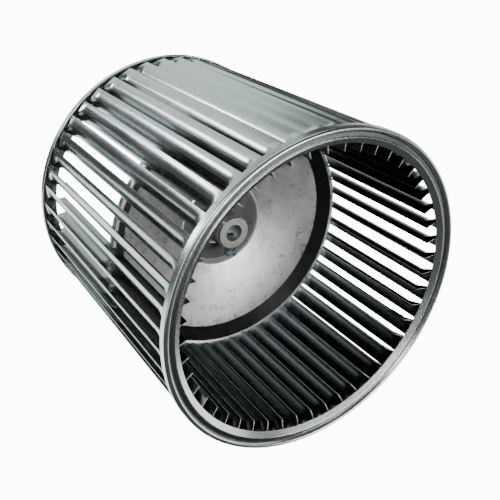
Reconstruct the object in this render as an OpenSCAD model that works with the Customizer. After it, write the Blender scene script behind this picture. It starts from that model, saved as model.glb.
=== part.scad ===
// Double-inlet forward-curved blower wheel.
//
// The wheel is drawn about its own spin axis, with z running out of the front
// opening and z = 0 at mid-width. The last step turns it so that it spins
// about +Y, its front opening faces -Y and +Z is up.

/* [Wheel] */
// Outer diameter of the wheel over its end rings
wheel_d = 254; // [200:1:320]
// Width of the wheel over both end rings
wheel_w = 250; // [200:1:320]
// Number of blades
blade_count = 48; // [36:1:48]

/* [Blades] */
// Thickness of the blade sheet
blade_t = 0.6; // [0.4:0.1:1]
// Clearance between the blades' outer edges and the ring skirts
blade_tip_gap = 0.05; // [0:0.05:0.8]
// Radial depth of the blade row
blade_depth = 18.7; // [16:0.1:20]
// Angle by which a blade's outer edge trails its inner edge
blade_slant = 6; // [4:0.1:7]
// Half of the angle that the blade's arc spans
blade_half_arc = 52; // [30:1:56]
// Angle of the first blade's outer edge from +X
blade_start = 0.7; // [0:0.01:7.4]
// Axial length of the corner cut from each inner end
blade_corner = 2.2; // [1:0.1:6]

/* [End rings] */
// Thickness of the rolled ring sheet
ring_t = 0.95; // [0.7:0.05:1.2]
// Radial width of a ring from its outer face to its inner edge
ring_w = 12.7; // [11:0.1:15]
// How far the inner edge lies behind the ring's front
ring_dish = 4.6; // [3.6:0.1:5]
// Depth of the skirt that hides the blade ends
ring_skirt = 7; // [6:0.5:10]
// Outer radius of the rolled bead
bead_r = 2; // [1.8:0.1:2.2]

/* [Centre disc] */
// Thickness of the disc sheet
disc_t = 1.2; // [1:0.1:1.6]
// Outer radius of the disc rim
disc_r = 109.35; // [108.8:0.05:110]
// Front of the disc rim, measured from mid-width
disc_z = -2.6; // [-6:0.1:0]
// Axial depth of the turned-back rim
disc_rim = 5.4; // [4:0.1:7]
// Radius where the steep outer band meets the cone
band_r = 95.8; // [90:0.1:98]
// Depth of the steep outer band
band_drop = 8.9; // [6:0.1:10]
// Depth of the cone
cone_drop = 11; // [8:0.1:14]
// Radius of the crest around the hub recess
crest_r = 37.7; // [36:0.1:42]
// Depth of the hub recess behind the crest
recess_drop = 4.5; // [3:0.1:6]

/* [Hub] */
// Outer diameter of the hub
hub_d = 29.2; // [26:0.1:34]
// Front face of the hub, measured from mid-width
hub_z = -0.9; // [-3:0.1:3]
// Length of the hub
hub_l = 38.1; // [36:0.1:42]
// Diameter of the shaft bore
bore_d = 12.7; // [12.7, 15.875]
// Thickness of the hub plate
plate_t = 1.5; // [1.2:0.1:2]

/* [Set screw] */
// Nominal diameter of the set screw
screw_d = 7.94; // [6.35, 7.94]
// Length of the set screw under its head
screw_l = 12.7; // [10.5:0.1:14]
// Height of the square head
screw_head_h = 6; // [5:0.1:7]
// Angle of the screw from +X
screw_angle = -87; // [-180:1:180]
// Distance of the screw behind the hub's front face
screw_back = 8.9; // [8:0.1:12]

/* [Balance clip] */
// Index of the blade that carries the clip, counted from the first one
clip_blade = 43; // [0:1:47]
// Middle of the clip, measured from mid-width
clip_z = 107.5; // [20:0.5:108]
// Length of the clip along the blade
clip_l = 16; // [12:0.5:18]

/* [Hidden] */
$fn = 96;
wheel_r = wheel_d / 2;
half_w = wheel_w / 2;
pitch = 360 / blade_count;

function polar(r, a) = [r * cos(a), r * sin(a)];
function arc(centre, r, a0, a1, steps) =
    [for (i = [0 : steps]) centre + polar(r, a0 + (a1 - a0) * i / steps)];
function two_digits(n) = n < 10 ? str("0", n) : str(n);
function blade_node(i) = str("blade_", two_digits(i + 1));

// End ring section, as radius and depth behind the ring's front
ring_inner_r = wheel_r - ring_w;
ridge_r = wheel_r - 8.2;
ridge_d = 1.6;
groove_r = wheel_r - 7.4;
groove_w = 3;
groove_d = 2.55;
bead_c = [wheel_r - bead_r, bead_r];
skirt_inner_r = wheel_r - ring_t;
hem = 0.3;

// Blades
blade_out_r = skirt_inner_r - blade_tip_gap;
blade_in_r = blade_out_r - blade_depth;
blade_end_d = groove_d + ring_t;
blade_lip_d = ring_dish + ring_t;
blade_in = polar(blade_in_r, blade_slant / 2);
blade_out = polar(blade_out_r, -blade_slant / 2);
blade_chord = blade_out - blade_in;
blade_arc_r = norm(blade_chord) / 2 / sin(blade_half_arc);
blade_unit = blade_chord / norm(blade_chord);
blade_hollow_side = [blade_unit.y, -blade_unit.x];
blade_arc_c = (blade_in + blade_out) / 2 + blade_hollow_side * blade_arc_r * cos(blade_half_arc);
blade_in_dir = atan2(blade_in.y - blade_arc_c.y, blade_in.x - blade_arc_c.x);
blade_out_dir = atan2(blade_out.y - blade_arc_c.y, blade_out.x - blade_arc_c.x);
blade_trim = 4;
lip_gap = 0.05;
notch_gap = 0.3;

// Centre disc and hub plate
band_z = disc_z - band_drop;
crest_z = band_z - cone_drop;
plate_z = crest_z - recess_drop;
rim_round = 1.2;
rim_land = 2.3;
rim_slope = 0.6;
recess_r = crest_r - 2.2;
plate_r = crest_r + 3.5;

// Hub
hub_r = hub_d / 2;
bore_r = bore_d / 2;
bore_chamfer = 1.3;
hub_chamfer = 1;
hub_back = hub_z - hub_l;
plate_fit = 0.05;
shoulder_r = hub_r + 3;
shoulder_l = 3;
stake_r = hub_r + 1;
stake_l = 0.8;

// Set screw, drawn along +Z from the spin axis outwards
screw_z = hub_z - screw_back;
screw_fit = 0.05;
screw_r = screw_d / 2 - screw_fit;
screw_tip = bore_r + 0.25;
screw_neck_r = screw_r - 0.7;
screw_neck_l = 1.6;
screw_cup_r = 2;
screw_cup_l = 0.9;
screw_head_top = screw_tip + screw_l + screw_head_h;

// Balance clip
clip_t = 0.5;
clip_gap = 0.03;
clip_depth = 6.5;
clip_half = clip_l / 2;
prong_spread = 24;
prong_w = 1.2;

// Turns the wheel from its drawing frame to its own frame
module in_place() {
    rotate([90, 0, 0]) children();
}

// Rolled end ring: a sloping inner band, a groove and a hemmed outer bead
module ring() {
    face = concat(
        [[ring_inner_r, ring_dish], [ridge_r, ridge_d]],
        [[groove_r, groove_d], [groove_r + groove_w, groove_d]],
        arc(bead_c, bead_r, 210, 360, 10),
        [[wheel_r, ring_skirt - hem], [wheel_r - hem, ring_skirt]]
    );
    back = concat(
        [[skirt_inner_r, ring_skirt]],
        arc(bead_c, bead_r - ring_t, 360, 210, 8),
        [[groove_r + groove_w, blade_end_d], [groove_r, blade_end_d]],
        [[ridge_r, ridge_d + ring_t], [ring_inner_r + hem, blade_lip_d], [ring_inner_r, blade_lip_d - hem]]
    );
    translate([0, 0, half_w])
        mirror([0, 0, 1])
            rotate_extrude($fn = 192)
                polygon(concat(face, back));
}

module front_ring() {
    color("#9aa09e") in_place() ring();
}

module rear_ring() {
    color("#8d9391") in_place() mirror([0, 0, 1]) ring();
}

// Section of a curved sheet that follows the blade's arc between two radii from the arc's centre
module blade_sheet(inner, outer) {
    reach = 2 * blade_arc_r;
    first = blade_in_dir + blade_trim;
    last = blade_out_dir - blade_trim;
    middle = (first + last) / 2;
    intersection() {
        difference() {
            translate(blade_arc_c) circle(r = outer);
            translate(blade_arc_c) circle(r = inner);
        }
        polygon([
            blade_arc_c,
            blade_arc_c + polar(reach, first),
            blade_arc_c + polar(reach, middle),
            blade_arc_c + polar(reach, last)
        ]);
    }
}

// Side view of a blade: radius against z, with cut corners that tuck under the rings
module blade_outline() {
    end = half_w - blade_end_d;
    lip = half_w - blade_lip_d - lip_gap;
    low = blade_in_r - 1;
    corner_slope = blade_corner / (ring_inner_r - blade_in_r);
    upper = [
        [low, lip - corner_slope * (ring_inner_r - low)],
        [ring_inner_r, lip],
        [groove_r, end],
        [blade_out_r + 1, end]
    ];
    lower = [for (i = [len(upper) - 1 : -1 : 0]) [upper[i].x, -upper[i].y]];
    polygon(concat(upper, lower));
}

// One blade at its own angle, notched at mid-width where the disc rim passes
module blade(i) {
    color("#b4b9b8")
        in_place()
            rotate(blade_start + blade_slant / 2 + i * pitch)
                difference() {
                    intersection() {
                        linear_extrude(wheel_w, center = true)
                            intersection() {
                                blade_sheet(blade_arc_r - blade_t / 2, blade_arc_r + blade_t / 2);
                                difference() {
                                    circle(r = blade_out_r, $fn = 192);
                                    circle(r = blade_in_r, $fn = 192);
                                }
                            }
                        rotate([90, 0, 0])
                            linear_extrude(wheel_r, center = true)
                                blade_outline();
                    }
                    translate([0, 0, disc_z - disc_rim - notch_gap])
                        cylinder(r = disc_r, h = disc_rim + 2 * notch_gap, $fn = 192);
                }
}

// Dished centre disc: turned-back rim, steep band, shallow cone and a crest around the hub recess
module centre_disc() {
    rim_c = [disc_r - rim_round, disc_z - rim_round];
    land_r = disc_r - rim_round - rim_land;
    front = concat(
        [[disc_r, disc_z - disc_rim]],
        arc(rim_c, rim_round, 0, 90, 5),
        [[land_r, disc_z - rim_slope], [band_r, band_z], [crest_r + 1.2, crest_z], [crest_r, crest_z + 0.2]],
        [[crest_r - 0.8, crest_z - 0.3], [recess_r, plate_z]]
    );
    back = [
        [recess_r + 1.5, plate_z],
        [crest_r + 1, crest_z - disc_t],
        [band_r + 0.3, band_z - disc_t],
        [land_r + 0.3, disc_z - rim_slope - disc_t],
        [disc_r - disc_t, disc_z - disc_t],
        [disc_r - disc_t, disc_z - disc_rim]
    ];
    color("#a9adab")
        in_place()
            rotate_extrude($fn = 192)
                polygon(concat(front, back));
}

// Flat plate welded behind the recess, with the hub staked through it
module hub_plate() {
    color("#6b6d6b")
        in_place()
            translate([0, 0, plate_z - plate_t])
                difference() {
                    cylinder(r = plate_r, h = plate_t, $fn = 192);
                    translate([0, 0, -1])
                        cylinder(r = hub_r + plate_fit, h = plate_t + 2);
                }
}

// Turned steel hub with a shoulder behind the plate and a staked lip in front of it
module hub() {
    section = [
        [bore_r, hub_back + bore_chamfer],
        [bore_r + bore_chamfer, hub_back],
        [hub_r - hub_chamfer, hub_back],
        [hub_r, hub_back + hub_chamfer],
        [hub_r, plate_z - plate_t - shoulder_l],
        [shoulder_r, plate_z - plate_t - shoulder_l],
        [shoulder_r, plate_z - plate_t],
        [hub_r, plate_z - plate_t],
        [hub_r, plate_z],
        [stake_r, plate_z],
        [hub_r, plate_z + stake_l],
        [hub_r, hub_z - hub_chamfer],
        [hub_r - hub_chamfer, hub_z],
        [bore_r + bore_chamfer, hub_z],
        [bore_r, hub_z - bore_chamfer]
    ];
    color("#9a9b98")
        in_place()
            difference() {
                rotate_extrude() polygon(section);
                translate([0, 0, screw_z])
                    rotate([0, 90, screw_angle])
                        cylinder(d = screw_d, h = hub_r + 1);
            }
}

// Square-head set screw with a cupped tip
module set_screw() {
    color("#7f8a92")
        in_place()
            translate([0, 0, screw_z])
                rotate([0, 90, screw_angle]) {
                    rotate_extrude($fn = 48)
                        polygon([
                            [0, screw_tip + screw_cup_l],
                            [screw_cup_r, screw_tip],
                            [screw_cup_r + 0.5, screw_tip],
                            [screw_r, screw_tip + screw_cup_l],
                            [screw_r, screw_tip + screw_l - screw_neck_l],
                            [screw_neck_r, screw_tip + screw_l - screw_neck_l + 0.5],
                            [screw_neck_r, screw_tip + screw_l + 0.5],
                            [0, screw_tip + screw_l + 0.5]
                        ]);
                    intersection() {
                        translate([-screw_d / 2, -screw_d / 2, screw_tip + screw_l])
                            cube([screw_d, screw_d, screw_head_h]);
                        rotate_extrude($fn = 48)
                            polygon([
                                [0, screw_tip + screw_l],
                                [screw_d * 0.62, screw_tip + screw_l],
                                [screw_d * 0.68, screw_tip + screw_l + 0.6],
                                [screw_d * 0.68, screw_head_top - 0.6],
                                [screw_d * 0.6, screw_head_top],
                                [0, screw_head_top]
                            ]);
                    }
                }
}

// Spring-steel clip that grips the inner edge of one blade, with one prong splayed away
module balance_clip() {
    inner = blade_arc_r - blade_t / 2 - clip_gap;
    outer = blade_arc_r + blade_t / 2 + clip_gap;
    edge = blade_in_r - clip_gap;
    color("#3c3f40")
        in_place()
            rotate(blade_start + blade_slant / 2 + clip_blade * pitch)
                translate([0, 0, clip_z]) {
                    linear_extrude(clip_l, center = true)
                        intersection() {
                            difference() {
                                blade_sheet(inner - clip_t, outer + clip_t);
                                difference() {
                                    blade_sheet(inner, outer);
                                    circle(r = edge, $fn = 192);
                                }
                            }
                            difference() {
                                circle(r = blade_in_r + clip_depth, $fn = 192);
                                circle(r = edge - clip_t, $fn = 192);
                            }
                        }
                    translate([blade_in.x - clip_t / 2, blade_in.y + clip_t, 0])
                        rotate([-prong_spread, 0, 0])
                            translate([-prong_w / 2, -clip_t / 2, -clip_t])
                                cube([prong_w, clip_t, clip_half + clip_t]);
                }
}

front_ring();
rear_ring();
centre_disc();
hub_plate();
hub();
set_screw();
balance_clip();
for (i = [0 : blade_count - 1])
    blade(i);
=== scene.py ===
"""A double-inlet blower wheel in a pale studio: formed blades, rolled rings, threaded set screw."""

import math

import bpy
from mathutils import Matrix, Vector


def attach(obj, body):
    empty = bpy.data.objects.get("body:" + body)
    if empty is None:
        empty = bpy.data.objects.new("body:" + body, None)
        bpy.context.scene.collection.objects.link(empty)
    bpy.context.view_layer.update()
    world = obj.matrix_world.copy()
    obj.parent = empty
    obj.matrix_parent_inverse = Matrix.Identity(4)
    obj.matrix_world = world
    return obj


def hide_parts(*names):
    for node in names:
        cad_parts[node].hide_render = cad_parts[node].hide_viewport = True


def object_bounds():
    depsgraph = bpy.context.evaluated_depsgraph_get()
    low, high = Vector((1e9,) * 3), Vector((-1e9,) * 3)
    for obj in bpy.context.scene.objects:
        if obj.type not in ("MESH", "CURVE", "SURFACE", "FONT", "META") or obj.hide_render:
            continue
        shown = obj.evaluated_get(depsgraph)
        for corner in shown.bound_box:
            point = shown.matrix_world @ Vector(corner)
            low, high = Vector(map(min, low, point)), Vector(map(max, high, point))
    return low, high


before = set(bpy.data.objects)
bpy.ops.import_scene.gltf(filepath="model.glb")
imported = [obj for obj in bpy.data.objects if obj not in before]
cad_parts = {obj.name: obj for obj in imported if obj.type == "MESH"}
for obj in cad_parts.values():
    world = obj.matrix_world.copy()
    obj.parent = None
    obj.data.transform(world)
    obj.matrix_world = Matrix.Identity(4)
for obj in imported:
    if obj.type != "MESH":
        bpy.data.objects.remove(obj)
cad_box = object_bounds()

MM = 0.001
WHEEL_R = cad_box[1].x
HALF_W = cad_box[1].y
BLADES = sorted(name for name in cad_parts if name.startswith("blade_"))
PITCH = 2 * math.pi / len(BLADES)

# Radii on the disc: edge of the recess, inner edge of the steep band, inner edge of the flat rim
LIP_R = 37 * MM
BAND_R = 95.9 * MM
LAND_R = 105.7 * MM

# Brightness of the surround and of the floor as the camera sees them
WHITE = 12.0


# Node graphs


class Graph:
    """A material's node tree, with short calls to add nodes and link them."""

    def __init__(self, name):
        self.material = bpy.data.materials.new(name)
        self.material.use_nodes = True
        self.tree = self.material.node_tree
        self.shader = self.tree.nodes["Principled BSDF"]

    def add(self, kind, **settings):
        node = self.tree.nodes.new(kind)
        for key, value in settings.items():
            setattr(node, key, value)
        return node

    def plug(self, source, target):
        self.tree.links.new(source, target)

    def place(self):
        """The point on the object, which stays with the object when it moves."""
        return self.add("ShaderNodeTexCoord").outputs["Object"]

    def math(self, kind, *values):
        node = self.add("ShaderNodeMath", operation=kind)
        for socket, value in zip(node.inputs, values):
            if isinstance(value, (int, float)):
                socket.default_value = value
            else:
                self.plug(value, socket)
        return node.outputs[0]

    def split(self, vector):
        """The three parts of a vector."""
        parts = self.add("ShaderNodeSeparateXYZ")
        self.plug(vector, parts.inputs[0])
        return parts.outputs

    def around_axis(self, vector):
        """Radius from the spin axis, distance along it, and angle about it, as one vector."""
        x, y, z = self.split(vector)
        squares = [self.math("MULTIPLY", part, part) for part in (x, z)]
        radius = self.math("SQRT", self.math("ADD", *squares))
        angle = self.math("ARCTAN2", z, x)
        out = self.add("ShaderNodeCombineXYZ")
        for source, socket in zip((radius, y, angle), out.inputs):
            self.plug(source, socket)
        return out.outputs[0]

    def radius(self, vector):
        """Distance from the spin axis."""
        return self.split(self.around_axis(vector))[0]

    def noise(self, vector, scale, detail=3.0, roughness=0.5):
        node = self.add("ShaderNodeTexNoise")
        node.inputs["Scale"].default_value = scale
        node.inputs["Detail"].default_value = detail
        node.inputs["Roughness"].default_value = roughness
        self.plug(vector, node.inputs["Vector"])
        return node.outputs["Fac"]

    def stretched(self, vector, scale, turn=(0, 0, 0)):
        node = self.add("ShaderNodeMapping")
        node.inputs["Scale"].default_value = scale
        node.inputs["Rotation"].default_value = turn
        self.plug(vector, node.inputs["Vector"])
        return node.outputs["Vector"]

    def remap(self, value, low, high, to_low, to_high):
        node = self.add("ShaderNodeMapRange")
        names = ("From Min", "From Max", "To Min", "To Max")
        for name, number in zip(names, (low, high, to_low, to_high)):
            node.inputs[name].default_value = number
        self.plug(value, node.inputs["Value"])
        return node.outputs["Result"]

    def mix(self, amount, first, second):
        """A blend of two colours, each a tuple or a socket."""
        node = self.add("ShaderNodeMix", data_type="RGBA")
        for socket, value in zip((node.inputs[6], node.inputs[7]), (first, second)):
            if isinstance(value, tuple):
                socket.default_value = (*value, 1.0)
            else:
                self.plug(value, socket)
        self.plug(amount, node.inputs[0])
        return node.outputs[2]

    def bump(self, height, strength, distance):
        node = self.add("ShaderNodeBump")
        node.inputs["Strength"].default_value = strength
        node.inputs["Distance"].default_value = distance
        self.plug(height, node.inputs["Height"])
        self.plug(node.outputs["Normal"], self.shader.inputs["Normal"])


def sheet_metal(
    name,
    dark,
    light,
    rough,
    grain_scale,
    bump=0.05,
    metallic=1.0,
    vary=1.0,
    round_part=False,
    groove=False,
    depth_shade=0.0,
    rear=None,
):
    """Rolled galvanised sheet: a faint zinc mottle, fine grain along the rolling, and a few dull stains.

    vary scales the unevenness of the gloss, and round_part runs the grain round the spin axis.
    groove paints shade into the ring's groove. depth_shade is the strength of a painted shade that
    darkens the blade towards its inner edge. rear is the face's own colour behind the disc, where its painted
    shade stops.
    """
    g = Graph(name)
    place = g.place()
    where = g.around_axis(place) if round_part else place
    mottle = g.noise(place, 90.0, 4.0, 0.65)
    cloud = g.noise(place, 14.0, 3.0, 0.5)
    grain = g.noise(g.stretched(where, grain_scale), 1.0, 3.0, 0.6)
    tone = g.math("ADD", g.math("MULTIPLY", mottle, 0.5), g.math("MULTIPLY", grain, 0.5))
    metal = g.mix(g.remap(tone, 0.35, 0.65, 0.0, 1.0), dark, light)
    stain = g.remap(cloud, 0.52, 0.75, 0.0, 0.35)
    dull = tuple(0.72 * v for v in dark)
    colour = g.mix(stain, metal, dull)
    # Behind the disc the face's own grey takes the place of the colour painted dark as shade.
    if rear:
        unshaded = g.remap(g.split(place)[1], REAR_START, REAR_FULL, 0.0, 0.9)
        patchy = g.remap(tone, 0.3, 0.5, 0.8, 1.0)
        colour = g.mix(g.math("MULTIPLY", unshaded, patchy), colour, rear)
    # Painted shade: the blade darkens towards its inner edge, near black at the deepest.
    if depth_shade:
        amount = g.remap(g.radius(place), IN_R + 6 * MM, OUT_R - 6 * MM, depth_shade, 0.0)
        colour = g.mix(amount, colour, (0.006, 0.008, 0.008))
    # Painted shade: the ring's groove, from the ridge to the groove's outer edge, is darkened.
    if groove:
        radius = g.radius(place)
        rise = g.remap(radius, RIDGE_R + 0.3 * MM, RIDGE_R + MM, 0.0, 0.75)
        fall = g.remap(radius, GROOVE_OUT_R - 0.1 * MM, GROOVE_OUT_R + 0.6 * MM, 1.0, 0.0)
        colour = g.mix(g.math("MULTIPLY", rise, fall), colour, (0.05, 0.06, 0.058))
    g.plug(colour, g.shader.inputs["Base Color"])
    uneven = g.math("ADD", g.remap(grain, 0.3, 0.7, -0.04, 0.05), g.remap(cloud, 0.4, 0.7, 0.0, 0.07))
    g.plug(g.math("ADD", g.math("MULTIPLY", uneven, vary), rough), g.shader.inputs["Roughness"])
    g.bump(grain, bump, 0.0001)
    g.shader.inputs["Metallic"].default_value = metallic
    return g.material


def disc_metal():
    """The pressed disc: a satin cone with crossed brushing, a painted highlight on the crest and rim, and
    painted shade on the steep band.
    """
    g = Graph("disc_metal")
    place = g.place()
    radius = g.radius(place)
    brushed = g.noise(g.stretched(place, (1500.0, 60.0, 90.0), (0, 0.9, 0)), 1.0, 2.0, 0.6)
    crossed = g.noise(g.stretched(place, (90.0, 60.0, 1300.0), (0, 0.35, 0)), 1.0, 2.0, 0.6)
    mottle = g.noise(place, 120.0, 5.0, 0.7)
    grain = g.math("ADD", g.math("MULTIPLY", brushed, 0.5), g.math("MULTIPLY", crossed, 0.5))
    tone = g.math("ADD", g.math("MULTIPLY", grain, 0.4), g.math("MULTIPLY", mottle, 0.6))
    metal = g.mix(g.remap(tone, 0.38, 0.62, 0.0, 1.0), (0.5, 0.5, 0.495), (0.68, 0.68, 0.675))
    speck = g.remap(g.noise(place, 200.0, 1.0, 0.4), 0.8, 0.83, 0.0, 0.8)
    past_cone = g.remap(radius, BAND_R, BAND_R + 0.3 * MM, 0.0, 1.0)
    before_rim = g.remap(radius, LAND_R, LAND_R + 0.3 * MM, 1.0, 0.0)
    steep = g.math("MULTIPLY", past_cone, before_rim)
    # Painted highlight: the recess's crest and the flat rim get a much lighter colour.
    crest = g.remap(radius, LIP_R + 1.6 * MM, LIP_R + 2.4 * MM, 1.0, 0.0)
    highlight_mask = g.math("MAXIMUM", crest, g.math("SUBTRACT", 1.0, before_rim))
    metal_with_highlight = g.mix(g.math("MULTIPLY", highlight_mask, 0.8), metal, (0.86, 0.86, 0.85))
    # Painted shade and reflection: the steep band between the cone and the rim is darkened nearly to black.
    highlit_and_shaded = g.mix(g.math("MULTIPLY", steep, 0.92), metal_with_highlight, (0.05, 0.052, 0.055))
    g.plug(g.mix(speck, highlit_and_shaded, (0.05, 0.05, 0.05)), g.shader.inputs["Base Color"])
    lip = g.remap(radius, LIP_R - 1 * MM, LIP_R + 0.5 * MM, 0.25, 0.0)
    g.plug(g.math("ADD", g.remap(tone, 0.35, 0.65, 0.25, 0.35), lip), g.shader.inputs["Roughness"])
    dull = g.math("MULTIPLY", lip, 1.8)
    sheen = g.math("ADD", g.math("SUBTRACT", 0.85, dull), g.math("MULTIPLY", steep, 0.15))
    g.plug(sheen, g.shader.inputs["Metallic"])
    g.bump(grain, 0.02, 0.0001)
    return g.material


def turned_metal(name, dark, light, rough, rings):
    """Machined steel: fine tool marks that run round the spin axis."""
    g = Graph(name)
    place = g.place()
    around = g.around_axis(place)
    marks = g.noise(g.stretched(around, (rings, rings, 0.6)), 1.0, 2.0, 0.7)
    mottle = g.noise(place, 300.0, 3.0, 0.6)
    tone = g.math("ADD", g.math("MULTIPLY", marks, 0.7), g.math("MULTIPLY", mottle, 0.3))
    g.plug(g.mix(g.remap(tone, 0.35, 0.65, 0.0, 1.0), dark, light), g.shader.inputs["Base Color"])
    g.plug(g.remap(marks, 0.3, 0.7, rough - 0.05, rough + 0.08), g.shader.inputs["Roughness"])
    g.bump(marks, 0.25, 0.0001)
    g.shader.inputs["Metallic"].default_value = 1.0
    return g.material


def plated_metal(name, dark, light, rough):
    """Small hardware: a mottled plated finish, darker where oil has dried."""
    g = Graph(name)
    place = g.place()
    mottle = g.noise(place, 420.0, 4.0, 0.6)
    cloud = g.noise(place, 110.0, 2.0, 0.5)
    metal = g.mix(g.remap(mottle, 0.35, 0.65, 0.0, 1.0), dark, light)
    oily = tuple(0.5 * v for v in dark)
    g.plug(g.mix(g.remap(cloud, 0.5, 0.7, 0.0, 0.5), metal, oily), g.shader.inputs["Base Color"])
    g.plug(g.remap(mottle, 0.3, 0.7, rough - 0.05, rough + 0.1), g.shader.inputs["Roughness"])
    g.bump(mottle, 0.15, 0.0001)
    g.shader.inputs["Metallic"].default_value = 1.0
    return g.material


def finish_node(name, material):
    """Gives a CAD node its material."""
    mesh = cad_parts[name].data
    mesh.materials.clear()
    mesh.materials.append(material)


# Pieces


def make_piece(name, vertices, faces, materials, body, nodes):
    """A mesh piece that rides on a body and stands for CAD nodes."""
    mesh = bpy.data.meshes.new(name)
    mesh.from_pydata([tuple(v) for v in vertices], [], faces)
    mesh.validate()
    for material in materials:
        mesh.materials.append(material)
    mesh.polygons.foreach_set("use_smooth", [True] * len(mesh.polygons))
    piece = bpy.data.objects.new(name, mesh)
    bpy.context.scene.collection.objects.link(piece)
    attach(piece, body)
    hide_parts(*nodes)
    return piece


def sharpen(mesh, angle):
    """Marks the edges that turn by more than angle, so that smooth shading stops there."""
    mesh.set_sharp_from_angle(angle=angle)


# Blade section, in the frame that the blade's middle angle turns: x is radial, y follows the angle
SHEET = 0.6 * MM
OUT_R = WHEEL_R - 1.0 * MM - SHEET / 2
IN_R = WHEEL_R - 19.7 * MM
SLANT = math.radians(6)
HALF_ARC = math.radians(52)
FIRST_ANGLE = math.radians(0.7)
END_BEND = 2.4
BEND_LENGTH = 13 * MM

# Along the spin axis, where the inner blade faces' rear colour starts to replace their painted shade, and
# where it is full
REAR_START = 9 * MM
REAR_FULL = 14 * MM

# End ring section, as radii and depths behind the ring's own face, in millimetres
RING_IN = 114.3
RIDGE = 118.8
GROOVE_IN = 119.6
GROOVE_OUT = 122.5
RING_OUT = 127.0
GROOVE_DEPTH = 2.55
SKIRT_DEPTH = 7.0
BEAD_R = 2.0
RING_SHEET = 0.95
RIDGE_R = RIDGE * MM
GROOVE_OUT_R = GROOVE_OUT * MM


def polar(radius, angle):
    return Vector((radius * math.cos(angle), radius * math.sin(angle)))


def blade_points():
    """Outer edge, inner edge and the point where the arc's two end tangents meet."""
    outer = polar(OUT_R, -SLANT / 2)
    inner = polar(IN_R, SLANT / 2)
    chord = outer - inner
    side = Vector((-chord.y, chord.x)).normalized()
    meet = (outer + inner) / 2 + side * chord.length / 2 * math.tan(HALF_ARC)
    return outer, inner, meet


def on_blade(u, bend):
    """A point at u across the blade, 0 at the outer edge and 1 at the inner; more bend turns it tighter."""
    outer, inner, meet = blade_points()
    a = (1 - u) ** 2
    b = 2 * bend * u * (1 - u)
    c = u**2
    return (outer * a + meet * b + inner * c) / (a + b + c)


def smooth_step(t):
    t = min(max(t, 0.0), 1.0)
    return t * t * (3 - 2 * t)


def bend_at(depth):
    """The bend's weight at a depth behind the wheel's face: a plain arc, tightened towards the ring."""
    plain = math.cos(HALF_ARC)
    near = 1 - smooth_step((depth - 6 * MM) / BEND_LENGTH)
    return plain + (END_BEND - plain) * near**2


def end_depth(radius):
    """How far behind the wheel's face the blade's end lies, under the ring and at the cut inner corner."""
    groove = GROOVE_IN * MM
    lip = RING_IN * MM
    if radius > groove:
        return 3.6 * MM
    if radius > lip:
        return (3.6 + 2.1 * (groove - radius) / (groove - lip)) * MM
    return (5.7 + 2.1 * ((lip - radius) / (lip - IN_R)) ** 2) * MM


def blade_across():
    """Positions across the blade in two runs, which meet at the bottom of the notch for the disc rim."""
    notch_r = 109.65 * MM
    low, high = 0.5, 1.0
    for _ in range(30):
        middle = (low + high) / 2
        if on_blade(middle, math.cos(HALF_ARC)).length > notch_r:
            low = middle
        else:
            high = middle
    steps = 12
    outer_part = [low * i / steps for i in range(steps + 1)]
    return outer_part, [low + (1 - low) * i / 3 for i in range(1, 4)]


def blade_stations():
    """Distances from a blade end, closer together where the bend changes."""
    near = [0, 0.8, 1.8, 3, 4.3, 5.7, 7.2, 8.8, 10.5, 12.5, 15, 19, 30, 50, 75]
    return [value * MM for value in near]


def blade_mesh(turn):
    """Vertices and faces of one blade's middle surface, at its own angle about the spin axis."""
    outer_part, notch_part = blade_across()
    across = outer_part + notch_part
    notch = (-8.6 * MM, -2.3 * MM)
    stations = blade_stations()
    columns = []
    for u in across:
        plain = on_blade(u, math.cos(HALF_ARC))
        start = end_depth(plain.length)
        upper = [HALF_W - start - d for d in stations]
        heights = upper + [notch[1], notch[0]] + [-z for z in reversed(upper)]
        column = []
        for z in heights:
            point = on_blade(u, bend_at(HALF_W - abs(z)))
            angle = math.atan2(point.y, point.x) + turn
            radius = point.length
            column.append((radius * math.cos(angle), -z, radius * math.sin(angle)))
        columns.append(column)
    rows = len(columns[0])
    vertices = [v for column in columns for v in column]
    faces = []
    notch_row = len(stations)
    for i in range(len(across) - 1):
        for j in range(rows - 1):
            if j == notch_row and i >= len(outer_part) - 1:
                continue
            a = i * rows + j
            faces.append((a, a + 1, a + rows + 1, a + rows))
    return vertices, faces


def make_blades(face_metal, inner_shaded_metal, edge_highlight_metal):
    """The loop of blades, each a middle surface that a modifier thickens, with sharp edges at its rim."""
    for i, node in enumerate(BLADES):
        turn = FIRST_ANGLE + SLANT / 2 + i * PITCH
        vertices, faces = blade_mesh(turn)
        metals = [face_metal, inner_shaded_metal, edge_highlight_metal]
        piece = make_piece(f"formed_{node}", vertices, faces, metals, "wheel", [node])
        edges = piece.data.edges
        counts = [0] * len(edges)
        for loop in piece.data.loops:
            counts[loop.edge_index] += 1
        sharp = piece.data.attributes.new("sharp_edge", "BOOLEAN", "EDGE")
        sharp.data.foreach_set("value", [n == 1 for n in counts])
        solid = piece.modifiers.new("sheet", "SOLIDIFY")
        solid.thickness = SHEET
        solid.offset = 0.0
        solid.use_even_offset = True
        solid.material_offset = 1
        solid.material_offset_rim = 2


def rounded(corners):
    """A line through points of radius, depth and corner radius, with its corners rounded."""
    points = [Vector(corner[:2]) for corner in corners]
    line = [points[0]]
    for i in range(1, len(points) - 1):
        before = (points[i - 1] - points[i]).normalized()
        after = (points[i + 1] - points[i]).normalized()
        half = before.angle(after) / 2
        centre = points[i] + (before + after).normalized() * corners[i][2] / math.sin(half)
        reach = corners[i][2] / math.tan(half)
        first = points[i] + before * reach - centre
        last = points[i] + after * reach - centre
        start = math.atan2(first.y, first.x)
        turn = (math.atan2(last.y, last.x) - start + math.pi) % (2 * math.pi) - math.pi
        line.append(centre + first + before * 0.06)
        for k in range(6):
            line.append(centre + polar(first.length, start + turn * k / 5))
        line.append(centre + last + after * 0.06)
    return line + [points[-1]]


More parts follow.
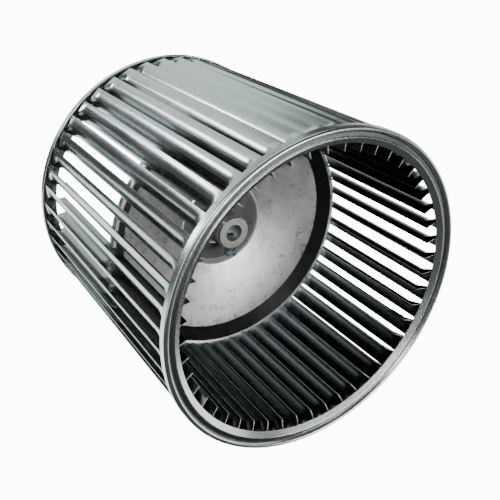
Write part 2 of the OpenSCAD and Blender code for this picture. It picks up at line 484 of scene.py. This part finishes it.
def ring_section():
    """Section of an end ring in millimetres: radius, and depth behind the ring's own face."""
    bead = Vector((RING_OUT - BEAD_R, BEAD_R))
    skirt_in = RING_OUT - RING_SHEET
    front = rounded(
        [
            (RING_IN, 5.0, 0),
            (RING_IN, 4.6, 0.2),
            (RIDGE, 1.5, 0.5),
            (GROOVE_IN, GROOVE_DEPTH, 0.3),
            (GROOVE_OUT, GROOVE_DEPTH, 0.3),
            (123.1, 1.3, 0),
        ]
    )
    outside = [bead + polar(BEAD_R, math.radians(210 + 10 * k)) for k in range(16)]
    hem = [
        (RING_OUT, 2.1),
        (RING_OUT, SKIRT_DEPTH - 0.3),
        (RING_OUT - 0.3, SKIRT_DEPTH),
        (skirt_in, SKIRT_DEPTH),
        (skirt_in, BEAD_R),
    ]
    inside = [bead + polar(BEAD_R - RING_SHEET, math.radians(345 - 15 * k)) for k in range(10)]
    under = [(122.6, 3.5), (GROOVE_IN, 3.5), (RIDGE, 2.55), (114.6, 5.55), (RING_IN, 5.25)]
    return front + outside + [Vector(p) for p in hem] + inside + [Vector(p) for p in under]


def make_ring(name, node, side, material):
    """A rolled end ring, spun from its section; side is -1 for the front ring and 1 for the rear one."""
    section = ring_section()
    segments = 288
    vertices = []
    for k in range(segments):
        angle = 2 * math.pi * k / segments
        for point in section:
            radius = point.x * MM
            across = side * (HALF_W - point.y * MM)
            vertices.append((radius * math.cos(angle), across, radius * math.sin(angle)))
    faces = []
    count = len(section)
    for k in range(segments):
        a = k * count
        b = (k + 1) % segments * count
        for i in range(count):
            j = (i + 1) % count
            face = (a + i, a + j, b + j, b + i)
            faces.append(face if side < 0 else tuple(reversed(face)))
    piece = make_piece(name, vertices, faces, [material], "wheel", [node])
    sharpen(piece.data, math.radians(40))


def lathe(levels, segments, radius_at, place):
    """Vertices and faces of a closed shape about an axis, with radius_at(angle, level) at each level."""
    vertices = []
    for level in levels:
        for k in range(segments):
            angle = 2 * math.pi * k / segments
            radius = radius_at(angle, level)
            vertices.append(place @ Vector((radius * math.cos(angle), radius * math.sin(angle), level)))
    faces = []
    for j in range(len(levels) - 1):
        for k in range(segments):
            a = j * segments + k
            b = j * segments + (k + 1) % segments
            faces.append((a, b, b + segments, a + segments))
    last = (len(levels) - 1) * segments
    faces.append(tuple(reversed(range(segments))))
    faces.append(tuple(range(last, last + segments)))
    return vertices, faces


# Set screw
SCREW_ANGLE = math.radians(-87)
SCREW_Y = 9.8 * MM
SCREW_TIP = 6.6 * MM
SCREW_L = 12.7 * MM
SCREW_HEAD = 6.0 * MM
SCREW_R = 3.92 * MM
THREAD_PITCH = 1.41 * MM
THREAD_DEPTH = 0.62 * MM
HEAD_HALF = 3.97 * MM


def screw_place():
    """The screw's own frame: +Z runs outwards along its axis."""
    outwards = Vector((math.cos(SCREW_ANGLE), 0, math.sin(SCREW_ANGLE)))
    along = Vector((0, 1, 0))
    side = along.cross(outwards)
    turn = Matrix((along, side, outwards)).transposed().to_4x4()
    return Matrix.Translation((0, SCREW_Y, 0)) @ turn


def shank_radius(angle, level):
    """Thread radius, tapered at the tip and plain under the head."""
    turn = (level / THREAD_PITCH - angle / (2 * math.pi)) % 1.0
    tooth = 1 - abs(2 * turn - 1)
    depth = THREAD_DEPTH * (1 - tooth)
    from_tip = level - SCREW_TIP
    taper = max(0.0, 0.9 * MM - from_tip)
    neck = SCREW_TIP + SCREW_L - 1.6 * MM
    if level > neck:
        return SCREW_R - 0.7 * MM
    return SCREW_R - max(depth, taper)


def head_radius(angle, level):
    """Square head with its corners turned off at the top and bottom."""
    square = HEAD_HALF / max(abs(math.cos(angle)), abs(math.sin(angle)))
    top = SCREW_TIP + SCREW_L + SCREW_HEAD
    bottom = SCREW_TIP + SCREW_L
    crown = HEAD_HALF * 1.02 + (top - level) * 1.5
    foot = HEAD_HALF * 1.2 + (level - bottom) * 1.4
    return min(square, crown, foot, HEAD_HALF * 1.36)


def make_screw(material):
    levels_per_pitch = 8
    count = int(SCREW_L / THREAD_PITCH * levels_per_pitch)
    shank_levels = [SCREW_TIP + SCREW_L * i / count for i in range(count + 1)]
    place = screw_place()
    vertices, faces = lathe(shank_levels, 48, shank_radius, place)
    rise = [0, 0.15, 0.35, 0.6, 1.0, 4.6, 4.9, 5.2, 5.5, 5.8, 5.95, 6.0]
    head_levels = [SCREW_TIP + SCREW_L + r * MM for r in rise]
    head_vertices, head_faces = lathe(head_levels, 64, head_radius, place)
    offset = len(vertices)
    vertices += head_vertices
    faces += [tuple(i + offset for i in face) for face in head_faces]
    name = "threaded_set_screw"
    piece = make_piece(name, vertices, faces, [material], "screw", ["set_screw"])
    sharpen(piece.data, math.radians(24))


# The set


def make_camera():
    """A view that looks down by 28 degrees, from the left of the front opening."""
    data = bpy.data.cameras.new("camera")
    data.lens = 48.78
    data.sensor_width = 36.0
    camera = bpy.data.objects.new("camera", data)
    camera.location = WHEEL_R * Vector((-2.0892, -3.4833, 2.0493))
    look = Vector((0.4726, 0.7442, -0.4721))
    camera.rotation_mode = "QUATERNION"
    camera.rotation_quaternion = look.to_track_quat("-Z", "Y")
    bpy.context.scene.collection.objects.link(camera)
    bpy.context.scene.camera = camera


def make_world():
    """A white surround as the camera sees it, and a dim one for what the metal reflects."""
    world = bpy.data.worlds.new("studio")
    world.use_nodes = True
    tree = world.node_tree
    tree.nodes.clear()
    out = tree.nodes.new("ShaderNodeOutputWorld")
    seen = tree.nodes.new("ShaderNodeBackground")
    seen.inputs["Color"].default_value = (1, 1, 1, 1)
    seen.inputs["Strength"].default_value = WHITE
    lit = tree.nodes.new("ShaderNodeBackground")
    lit.inputs["Color"].default_value = (0.9, 0.97, 1.0, 1)
    lit.inputs["Strength"].default_value = 0.08
    path = tree.nodes.new("ShaderNodeLightPath")
    mix = tree.nodes.new("ShaderNodeMixShader")
    tree.links.new(path.outputs["Is Camera Ray"], mix.inputs[0])
    tree.links.new(lit.outputs[0], mix.inputs[1])
    tree.links.new(seen.outputs[0], mix.inputs[2])
    tree.links.new(mix.outputs[0], out.inputs["Surface"])
    bpy.context.scene.world = world


def area_light(name, place, size, power, colour):
    """A soft box that faces the middle of the wheel."""
    data = bpy.data.lights.new(name, "AREA")
    data.shape = "RECTANGLE"
    data.size, data.size_y = size
    data.energy = power
    data.color = colour
    light = bpy.data.objects.new(name, data)
    light.location = place
    light.rotation_mode = "QUATERNION"
    light.rotation_quaternion = (-Vector(place)).to_track_quat("-Z", "Y")
    bpy.context.scene.collection.objects.link(light)


def make_lights():
    area_light("sky_behind", (-0.1, 1.3, 0.85), (1.7, 0.6), 5.0, (0.84, 1.0, 0.95))
    area_light("strip_behind_left", (-0.95, 1.15, 0.55), (0.6, 0.14), 6, (0.98, 0.96, 1.0))
    area_light("strip_above_left", (-1.0, -0.45, 0.95), (1.2, 0.5), 10, (0.95, 1.0, 0.98))
    area_light("low_behind", (-0.1, 1.15, -0.75), (2.2, 0.9), 18, (0.88, 0.98, 1.0))
    area_light("front_low", (0.38, -1.35, -0.05), (0.8, 0.3), 14, (1.0, 0.99, 0.97))
    area_light("front_above", (-0.1, -1.2, 0.75), (0.5, 0.3), 0.3, (1.0, 1.0, 0.98))
    area_light("right_low", (1.15, -0.4, -0.45), (0.9, 0.9), 6.5, (0.98, 0.99, 1.0))
    area_light("behind_right", (1.3, 0.9, 0.0), (0.9, 0.9), 2.5, (0.98, 0.99, 1.0))
    area_light("overhead", (0.1, 0.15, 1.5), (1.4, 0.8), 6, (0.95, 1.0, 0.98))
    area_light("right", (1.5, 0.05, 0.35), (1.0, 1.0), 6.5, (0.96, 1.0, 0.99))
    area_light("left", (-1.5, 0.05, 0.2), (1.0, 1.1), 4.5, (0.96, 1.0, 0.99))
    area_light("behind", (0.1, 1.55, 0.1), (0.9, 0.7), 2.5, (0.96, 1.0, 0.99))


def make_floor():
    """A white floor that only the camera sees: the metal doesn't reflect it."""
    mesh = bpy.data.meshes.new("floor")
    half = 4.0
    low = cad_box[0].z
    corners = [(-half, -half, low), (half, -half, low), (half, half, low), (-half, half, low)]
    mesh.from_pydata(corners, [], [(0, 1, 2, 3)])
    floor = bpy.data.objects.new("floor", mesh)
    g = Graph("floor")
    g.shader.inputs["Base Color"].default_value = (0.9, 0.9, 0.9, 1)
    g.shader.inputs["Roughness"].default_value = 0.9
    g.shader.inputs["Emission Color"].default_value = (1, 1, 1, 1)
    g.shader.inputs["Emission Strength"].default_value = WHITE
    clear = g.add("ShaderNodeBsdfTransparent")
    path = g.add("ShaderNodeLightPath")
    mix = g.add("ShaderNodeMixShader")
    g.plug(path.outputs["Is Camera Ray"], mix.inputs[0])
    g.plug(clear.outputs[0], mix.inputs[1])
    g.plug(g.shader.outputs[0], mix.inputs[2])
    g.plug(mix.outputs[0], g.tree.nodes["Material Output"].inputs["Surface"])
    mesh.materials.append(g.material)
    bpy.context.scene.collection.objects.link(floor)


make_camera()
make_world()
make_lights()
make_floor()

BLADE_GRAIN = (500, 8, 500)
blade_face = sheet_metal(
    "blade_face", (0.4, 0.43, 0.42), (0.48, 0.51, 0.5), 0.21, BLADE_GRAIN, bump=0.004, depth_shade=0.8
)
# The inner faces: the same sheet painted near black as shade in front of the disc, with a grey like the outer
# faces behind it.
blade_inner_shaded = sheet_metal(
    "blade_inner_shaded",
    (0.035, 0.04, 0.04),
    (0.055, 0.06, 0.06),
    0.24,
    BLADE_GRAIN,
    bump=0.008,
    rear=(0.4, 0.43, 0.43),
)
# The blades' cut edges: lighter and less metallic than the faces so the thin edges show as light lines, a
# painted highlight.
blade_edge_highlight = sheet_metal(
    "blade_edge_highlight", (0.46, 0.48, 0.47), (0.58, 0.6, 0.59), 0.45, (900, 900, 900), metallic=0.6
)
ring_metal = sheet_metal(
    "ring_metal",
    (0.52, 0.55, 0.54),
    (0.58, 0.61, 0.6),
    0.25,
    (250, 250, 4),
    bump=0.002,
    vary=0.3,
    round_part=True,
    groove=True,
)
# The hub plate is painted near black, as shade in its recess behind the lip.
plate_metal_shaded = sheet_metal("plate_metal_shaded", (0.075, 0.08, 0.08), (0.11, 0.115, 0.115), 0.42, (400, 400, 400))
hub_metal = turned_metal("hub_metal", (0.4, 0.41, 0.4), (0.56, 0.57, 0.56), 0.36, 3000)
screw_metal = plated_metal("screw_metal", (0.3, 0.36, 0.42), (0.45, 0.52, 0.58), 0.28)
clip_metal = plated_metal("clip_metal", (0.035, 0.036, 0.04), (0.07, 0.07, 0.075), 0.4)

make_blades(blade_face, blade_inner_shaded, blade_edge_highlight)
make_screw(screw_metal)
make_ring("rolled_front_ring", "front_ring", -1, ring_metal)
make_ring("rolled_rear_ring", "rear_ring", 1, ring_metal)
finish_node("centre_disc", disc_metal())
finish_node("hub_plate", plate_metal_shaded)
finish_node("hub", hub_metal)
finish_node("balance_clip", clip_metal)
